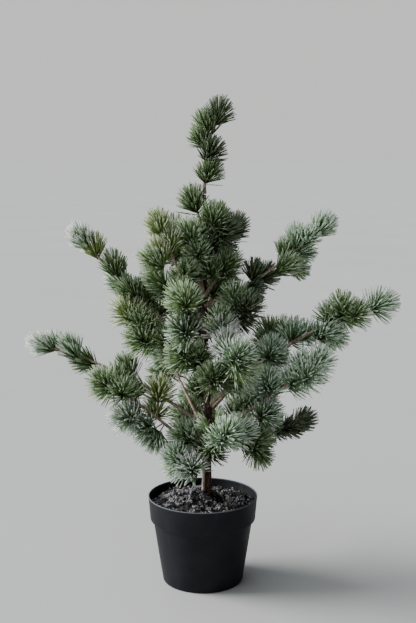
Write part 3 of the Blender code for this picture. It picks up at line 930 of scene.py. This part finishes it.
def make_soil():
    """The soil: an uneven plug in the pot, whose near-black is partly dark soil and partly painted shade
    between the crumbs, and crumbs of several tints heaped on it.
    """
    heap = Heap()
    # The plug takes the first, darkest tint: painted shade in the gaps between crumbs.
    heap.add_bmesh(soil_plug())
    balls = [ball(subdivisions) for subdivisions in (1, 2)]
    chance = np.random.default_rng(SOIL_SEED)
    for slot, clod in enumerate(CLODS):
        strew(heap, clod, slot, balls, chance)
    soil = heap.piece("soil_crumbs", [soil_material(clod.name, clod.colour) for clod in CLODS])
    soil.data.shade_flat()
    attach(soil, BODY)
    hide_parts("soil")


# Bark

BARK_DEPTH = 0.0007
RIDGE_STRETCH = 0.28
KNOB_FINENESS = 0.9
KNOB_SHIFT = Vector((7, 3, 1))
KNOB_SHARE = 0.7
ROOT_DEPTH = 0.004
TRUNK_PITCH = 0.0022
TRUNK_SIDES = 30
TRUNK_RELIEF = 1
TRUNK_GRAIN = 420
TRUNK_SHIFT = Vector((0.0018, 0.0010, 0))
TRUNK_SLIMMING = 0.0017
STRAND_RADIUS = 0.0027
STRAND_TAPER = 0.8
STRAND_TOP = 0.246
STRAND_FADE = 0.05
STRAND_SHIFT = Vector((-0.0066, -0.0042, 0))
STRAND_CLOSING = 0.75
STRAND_SIDES = 14
STRAND_GRAIN = 500
STRAND_RELIEF = 0.5
LIMB_GRAIN = 520
FLARE_LENGTH = 0.010
TWIG_STEPS = 3
TWIG_TAPER = 0.85


class Finish(NamedTuple):
    """How a kind of limb is made: its relief, sides and length of steps, and how it is thickened."""

    relief: float
    sides: int
    pitch: float
    wrap: float = 1.0
    flare: float = 0.0


LIMB_FINISH = Finish(0.6, 12, 0.0024, wrap=1.22, flare=0.7)
STEM_FINISH = Finish(0.45, 9, 0.0030, wrap=1.22)
TWIG_FINISH = Finish(0.35, 7, 0.0040)

# Kinds of bark: the dark and light brown, the pale tint of ridges (partly worn tan, partly painted
# highlight), and how bright furrows stay against the painted shade in them
OLD, YOUNG, STRAND = range(3)
BARKS = (
    ("bark_old", (0.018, 0.010, 0.007), (0.066, 0.034, 0.023), (0.185, 0.105, 0.076), 0.1),
    # Young bark of limbs, stems and twigs: its own pinkish tan, made paler partly as painted light where
    # limbs catch the light.
    ("bark_young", (0.270, 0.165, 0.122), (0.470, 0.325, 0.262), (0.700, 0.550, 0.480), 0.55),
    # The strand's bark: pale tan, partly its own and partly painted light where the strand catches the
    # light from the left.
    ("bark_strand", (0.420, 0.270, 0.205), (0.660, 0.470, 0.385), (0.850, 0.690, 0.610), 0.65),
)


def bark_material(name, dark, light, ridge_wear_and_highlight, furrow):
    """Moulded bark: two browns in patches, pale ridges that are partly worn tan and partly painted
    highlight, and furrows darkened partly by their own tone and partly as painted shade.
    """
    material, tree, shader = new_material(name, light, 0.8, gloss=0.3)
    patches = speckle(tree, 90, stretch=0.35, detail=6, low=0.34, high=0.66)
    ridges = speckle(tree, 420, stretch=0.22, detail=6, low=0.46, high=0.64)
    furrows = speckle(tree, 700, stretch=0.30, detail=4, low=0.34, high=0.60)
    base = mixed(tree, patches, dark, light)
    # Pale ridges: partly worn tan, partly painted highlight.
    ridged = mixed(tree, scaled(tree, ridges, 0, 0.85), base, ridge_wear_and_highlight)
    # Furrows, the hollows of the bump below, darken towards near-black: partly their own tone, partly
    # painted shade.
    shade = mixed(tree, scaled(tree, furrows, furrow, 1), (0.010, 0.006, 0.005), ridged)
    tree.links.new(shade, shader.inputs["Base Color"])
    tree.links.new(scaled(tree, ridges, 0.88, 0.62), shader.inputs["Roughness"])
    bumped(tree, shader, furrows, 0.0005)
    return material


def bark_tube(points, directions, radii, sides, relief, grain):
    """A tube with the relief of bark: upright ridges, broken up by knobs."""
    mesh = tube(points, directions, radii, sides)
    mesh.normal_update()
    depth = BARK_DEPTH * relief
    moves = []
    for vert in mesh.verts:
        place = vert.co
        ridge = noise.noise(Vector((place.x, place.y, place.z * RIDGE_STRETCH)) * grain)
        knob = noise.noise(place * grain * KNOB_FINENESS + KNOB_SHIFT)
        moves.append(vert.normal * depth * (ridge + KNOB_SHARE * knob))
    for vert, move in zip(mesh.verts, moves):
        vert.co += move
    return mesh


def trunk_shape():
    """The trunk's bole: flared at the soil, set back beside the strand, tapering to the leader's foot."""
    points = []
    radii = []
    for height in np.arange(TRUNK[0].height - ROOT_DEPTH, TRUNK[-1].height, TRUNK_PITCH):
        beside = max(0.0, min(1.0, (STRAND_TOP - height) / STRAND_FADE))
        points.append(trunk_axis(height) + TRUNK_SHIFT * beside)
        radii.append(trunk_at(height).radius - TRUNK_SLIMMING * beside)
    return bark_tube(points, [UP] * len(points), radii, TRUNK_SIDES, TRUNK_RELIEF, TRUNK_GRAIN)


def strand_shape():
    """The strand that rises from the soil along the trunk's left side and merges into it."""
    points = []
    radii = []
    for height in np.arange(TRUNK[0].height - ROOT_DEPTH, STRAND_TOP, TRUNK_PITCH):
        share = (height - TRUNK[0].height) / (STRAND_TOP - TRUNK[0].height)
        aside = STRAND_SHIFT * (1 - STRAND_CLOSING * max(0.0, share) ** 2)
        points.append(trunk_axis(height) + aside)
        radii.append(between(STRAND_RADIUS, STRAND_RADIUS * STRAND_TAPER, share))
    return bark_tube(points, [UP] * len(points), radii, STRAND_SIDES, STRAND_RELIEF, STRAND_GRAIN)


def limb_shape(run, finish):
    """A limb or stem as a tube with relief, thickened by its wrap, and by its flare near its start."""
    length = run.length()
    fine = replace(run, steps=max(LIMB_STEPS, int(length / finish.pitch)))
    directions = [heading(run.path, share) for share in fine.shares()]
    radii = []
    for i, radius in enumerate(fine.radii()):
        away = i / fine.steps * length
        radii.append(radius * (finish.wrap * (1 + finish.flare * math.exp(-away / FLARE_LENGTH))))
    return bark_tube(fine.points(), directions, radii, finish.sides, finish.relief, LIMB_GRAIN)


def make_bark(sprays):
    """Trunk and boughs with the relief of bark, and the stems and twigs within the foliage."""
    barks = [bark_material(*bark) for bark in BARKS]
    heap = Heap()
    heap.add_bmesh(trunk_shape(), OLD)
    # The strand's paler bark is partly its own tan and partly painted light.
    heap.add_bmesh(strand_shape(), STRAND)
    boughs = [bough for bough in BOUGHS if bough.bare]
    for bough in boughs:
        heap.add_bmesh(limb_shape(limb_of(bough), LIMB_FINISH), YOUNG)
    trunk = heap.piece("trunk_and_boughs", barks)
    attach(trunk, BODY)
    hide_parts("trunk", *["bough_" + bough.name for bough in boughs])
    heap = Heap()
    for spray in sprays:
        heap.add_bmesh(limb_shape(spray.stem, STEM_FINISH))
        for root, tip in spray.twigs:
            path = partial(root.lerp, tip)
            twig = Run(path, 0, 1, TIP_THICKNESS, TIP_THICKNESS * TWIG_TAPER, TWIG_STEPS)
            heap.add_bmesh(limb_shape(twig, TWIG_FINISH))
    twigs = heap.piece("stems_and_twigs", [barks[YOUNG]])
    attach(twigs, BODY)


# Needles

ZONES = ("root", "middle", "paling", "frost")
MIDDLE_PALING = 0.35
END_FROSTING = 0.62

# Colours of each kind of tuft, by zone. The darkest kind, listed first, is a shaded copy of the greens:
# painted shade.
TINTS = {
    "dusk": ((0.025, 0.038, 0.013), (0.056, 0.079, 0.032), (0.097, 0.133, 0.067), (0.160, 0.200, 0.126)),
    "deep": ((0.040, 0.062, 0.016), (0.073, 0.122, 0.038), (0.138, 0.207, 0.088), (0.272, 0.347, 0.208)),
    "green": ((0.071, 0.118, 0.026), (0.121, 0.212, 0.062), (0.238, 0.347, 0.164), (0.470, 0.550, 0.390)),
    "olive": ((0.104, 0.149, 0.022), (0.162, 0.237, 0.052), (0.287, 0.376, 0.156), (0.620, 0.665, 0.480)),
    "sage": ((0.071, 0.120, 0.042), (0.123, 0.214, 0.100), (0.274, 0.382, 0.244), (0.570, 0.647, 0.545)),
    "mint": ((0.080, 0.138, 0.052), (0.172, 0.282, 0.145), (0.370, 0.500, 0.335), (0.690, 0.800, 0.665)),
    "frosty": ((0.096, 0.152, 0.062), (0.214, 0.309, 0.185), (0.481, 0.560, 0.450), (0.836, 0.830, 0.810)),
}


def needle_materials():
    """The plain base colours of the needles, by tint and zone."""
    return [
        new_material(f"needle_{tint}_{zone}", colour, 0.6, gloss=0.25)[0]
        for tint, colours in TINTS.items()
        for zone, colour in zip(ZONES, colours)
    ]


def needle_faces():
    """The faces of one needle of four-cornered rings, with both ends closed."""
    last = (len(RING_PLACES) - 1) * NEEDLE_SIDES
    faces = []
    for ring in range(0, last, NEEDLE_SIDES):
        for side in range(NEEDLE_SIDES):
            a = ring + side
            b = ring + (side + 1) % NEEDLE_SIDES
            faces.append((a, b, b + NEEDLE_SIDES, a + NEEDLE_SIDES))
    faces.append((3, 2, 1, 0))
    faces.append((last, last + 1, last + 2, last + 3))
    return np.array(faces)


NEEDLE_FACES = needle_faces()


def unit(vectors):
    """Vectors scaled to length 1."""
    return vectors / np.linalg.norm(vectors, axis=-1, keepdims=True)


def tuft_needles(base, axis, count, reach, run, lean, chance):
    """The corners of a tuft's needles, as an array by needle, ring and side."""
    axis = np.array(axis)
    side = unit(np.cross(axis, unit(chance.normal(size=3))))
    away = np.cross(axis, side)
    order = (np.arange(count) + chance.uniform(*NEEDLE_ORDER_CHANCE, count)) / count
    forward = 1 - order * (1 - BARE_BACK)
    turn = np.arange(count) * GOLDEN_TURN
    turn = turn + chance.uniform(-NEEDLE_TURN_CHANCE, NEEDLE_TURN_CHANCE, count)
    outward = np.cos(turn)[:, None] * side + np.sin(turn)[:, None] * away
    sideways = np.sqrt(1 - forward ** 2)
    direction = (forward + lean)[:, None] * axis + sideways[:, None] * outward
    direction = unit(unit(direction) + chance.uniform(-TUFT_TOUSLE, TUFT_TOUSLE, (count, 3)))
    slide = order ** TUFT_RUN_POWER * run + chance.uniform(-TUFT_JITTER, TUFT_JITTER, count)
    root = np.array(base) - slide[:, None] * axis + outward * ROOT_RING
    stunted = np.where(chance.random(count) < STUNTED_SHARE, NEEDLE_STUNTED, 1.0)
    length = reach * chance.uniform(NEEDLE_SHORTEST, 1.0, count) * stunted
    toward = axis - direction * (direction @ axis)[:, None]
    bend = toward * chance.uniform(*NEEDLE_BEND_CHANCE, count)[:, None] * NEEDLE_BEND
    flat = unit(np.cross(direction, unit(chance.normal(size=(count, 3)))))
    thin = np.cross(direction, flat) * NEEDLE_FLATNESS
    places = RING_PLACES[None, :, None]
    middles = root[:, None] + direction[:, None] * length[:, None, None] * places
    middles = middles + bend[:, None] * places ** 2
    stoutness = chance.uniform(*NEEDLE_WIDTH_CHANCE, (count, 1, 1))
    half = NEEDLE_WIDTH / 2 * RING_WIDTHS[None, :, None] * stoutness
    corners = [flat, thin, -flat, -thin]
    return np.stack([middles + half * corner[:, None] for corner in corners], axis=2)


def fanned(base, axis):
    """A tuft's axis, turned up and aside where it would point straight to the front."""
    if axis.y > FRONTAL:
        return axis
    aside = math.copysign(FAN_ASIDE, base.x - trunk_axis(min(base.z, TRUNK[-1].height)).x)
    return (axis + UP * FAN_UP + Vector((aside, 0, 0))).normalized()


def needle_zones(count, tint, chance):
    """The material slot of each face of a tuft's needles: green roots, and pale or frosted ends."""
    steps = len(RING_PLACES) - 1
    segment = np.append(np.repeat(np.arange(steps), NEEDLE_SIDES), [0, steps - 1])
    zones = np.tile(segment, (count, 1))
    middle = chance.random(count) < MIDDLE_PALING
    end = chance.random(count) < END_FROSTING
    zones[:, segment == 1] += middle[:, None]
    zones[:, segment == 2] += end[:, None]
    return zones + tint * len(ZONES)


# Tints of each spray's tufts, in the order in which they grow, from its tip on. Besides the needles' own
# mix of greens and frosted tips, darker tints stand for shade on the leader, top and back sprays, and paler
# ones for light on the left and front-right sprays: painted shade and painted light.
TUFT_TINTS = {
    "leader": "dusk deep dusk deep",
    "low_left": "green green frosty olive",
    "left_long": "frosty sage deep deep olive",
    "mid_left": "olive olive green",
    "upper_left": "frosty olive deep sage deep deep",
    "steep_left": "olive olive green olive green deep",
    "high_left_front": "green green",
    "top_left": "deep",
    "top_front": "deep dusk",
    "top_right": "dusk deep",
    "high_right_front": "deep green",
    "upper_right": "mint mint green dusk",
    "mid_right_front": "dusk green frosty green",
    "right_long": "mint green mint mint mint",
    "right_low_front": "mint mint mint mint sage green",
    "right_low_back": "dusk dusk deep",
    "right_low": "deep green",
    "front_low": "dusk green sage",
    "low_front_left": "mint frosty sage green",
    "front_mid": "mint sage green",
    "front_high": "sage green frosty deep dusk mint green",
    "front_left": "green deep",
    "front_upper": "green deep sage dusk",
    "back_left_low": "sage sage deep deep",
    "back_low": "deep sage deep deep deep deep",
    "back_right": "deep deep dusk deep deep",
    "back_left_mid": "sage green deep green deep deep",
    "back_mid": "deep green deep deep deep dusk dusk",
    "back_upper": "deep deep dusk deep",
    "back_high": "deep green deep deep",
}


def tuft_tints(spray):
    """The number of each tuft's tint. A finer tuft takes its neighbour's, but is never frosty."""
    listed = TUFT_TINTS[spray.habit.name].split()
    bases = [base for base, _ in spray.tufts[:spray.coarse]]
    tints = listed[:]
    for base, _ in spray.tufts[spray.coarse:]:
        away = [(base - other).length for other in bases]
        tint = listed[away.index(min(away))]
        tints.append("sage" if tint == "frosty" else tint)
    return [list(TINTS).index(tint) for tint in tints]


def clear_of_trunk(corners):
    """Which needles stay out of the trunk, and leave its front open where it shows."""
    middles = corners.mean(axis=2)
    hiding = np.zeros(len(middles), bool)
    for low, high in TRUNK_SHOWS:
        hiding |= ((middles > low) & (middles < high)).all(axis=2).any(axis=1)
    levels, *columns = np.array(TRUNK).T
    x, y, radius = [np.interp(middles[..., 2], levels, column) for column in columns]
    away = np.hypot(middles[..., 0] - x, middles[..., 1] - y)
    inside = (away < radius + BARK_ROOM) & (middles[..., 2] < TRUNK[-1].height)
    return ~(inside[:, 1:].any(axis=1) | hiding)


def add_needles(heap, spray, place, tint, chance):
    """Adds the needles of one of a spray's tufts to a heap."""
    base, axis = spray.tufts[place]
    count, reach, run = NEEDLES_FINE, NEEDLE_FINE_REACH, TUFT_FINE_RUN
    if place < spray.coarse:
        count, reach, run = NEEDLES_A_TUFT, NEEDLE_REACH, TUFT_RUN
    if spray.habit is LEADER:
        reach *= LEADER_REACH
    corners = tuft_needles(base, fanned(base, axis), count, reach, run, spray.habit.lean, chance)
    zones = needle_zones(count, tint, chance)
    keep = clear_of_trunk(corners)
    corners = corners[keep]
    starts = np.arange(len(corners))[:, None, None] * (len(RING_PLACES) * NEEDLE_SIDES)
    faces = (NEEDLE_FACES + starts).reshape(-1, NEEDLE_SIDES)
    heap.add(corners.reshape(-1, 3), faces, zones[keep].ravel())


def make_needles(sprays):
    """One joined piece of needles for each spray."""
    materials = needle_materials()
    for number, spray in enumerate(sprays):
        chance = np.random.default_rng(NEEDLE_SEED + number)
        heap = Heap()
        for place, tint in enumerate(tuft_tints(spray)):
            add_needles(heap, spray, place, tint, chance)
        piece = heap.piece("needles_" + spray.habit.name, materials)
        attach(piece, BODY)
        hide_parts(spray.name)


# Stage

def make_floor():
    """A plain pale floor."""
    material, tree, shader = new_material("pale_floor", (0.50, 0.495, 0.49), 1.0, gloss=0.0)
    cloud = speckle(tree, 1.2, detail=3, low=0.3, high=0.7)
    clouded = mixed(tree, cloud, (0.485, 0.480, 0.475), (0.515, 0.510, 0.505))
    tree.links.new(clouded, shader.inputs["Base Color"])
    mesh = bmesh.new()
    bmesh.ops.create_circle(mesh, cap_ends=True, segments=FLOOR_CORNERS, radius=FLOOR_RADIUS)
    floor = object_of("floor", mesh, material)


def make_key():
    """The key light, broad and soft, from the upper left."""
    light = bpy.data.lights.new("key", "SUN")
    light.angle = math.radians(KEY_WIDTH)
    light.energy = KEY_STRENGTH
    light.color = (1.0, 0.995, 0.985)
    linked("key", light).rotation_euler = Vector(KEY_DIRECTION).to_track_quat("-Z", "Y").to_euler()


def make_surround():
    """A surround that glows on the left and is dim on the right. The camera sees it even."""
    world = bpy.data.worlds.new("surround")
    world.use_nodes = True
    tree = world.node_tree
    background = tree.nodes["Background"]
    toward = Vector(GLOW_SIDE).normalized()
    place = node(tree, "ShaderNodeTexCoord").outputs["Generated"]
    facing = node(tree, "ShaderNodeVectorMath", {0: place, 1: toward}, operation="DOT_PRODUCT")
    glow = scaled(
        tree, facing.outputs["Value"], GLOW_DIM, GLOW_BRIGHT, GLOW_EDGE, interpolation_type="SMOOTHSTEP"
    )
    seen = node(tree, "ShaderNodeLightPath").outputs["Is Camera Ray"]
    strength = node(tree, "ShaderNodeMix", {0: seen, 2: glow, 3: BACKDROP}, data_type="FLOAT")
    tree.links.new(mixed(tree, seen, (0.90, 0.96, 1.0), (1.0, 0.995, 0.99)), background.inputs["Color"])
    tree.links.new(strength.outputs[0], background.inputs["Strength"])
    bpy.context.scene.world = world


def make_camera():
    """The camera at the photograph's angle."""
    data = bpy.data.cameras.new("camera")
    data.lens = CAMERA_LENS
    data.sensor_width = SENSOR
    data.dof.use_dof = False
    camera = linked("camera", data)
    camera.location = CAMERA_PLACE
    camera.rotation_euler = (math.radians(90 - CAMERA_PITCH), 0, 0)
    bpy.context.scene.camera = camera


def main():
    """Sets the stage and dresses the part."""
    make_camera()
    make_floor()
    make_key()
    make_surround()
    make_pot()
    make_soil()
    sprays = grow_all()
    make_bark(sprays)
    make_needles(sprays)


main()
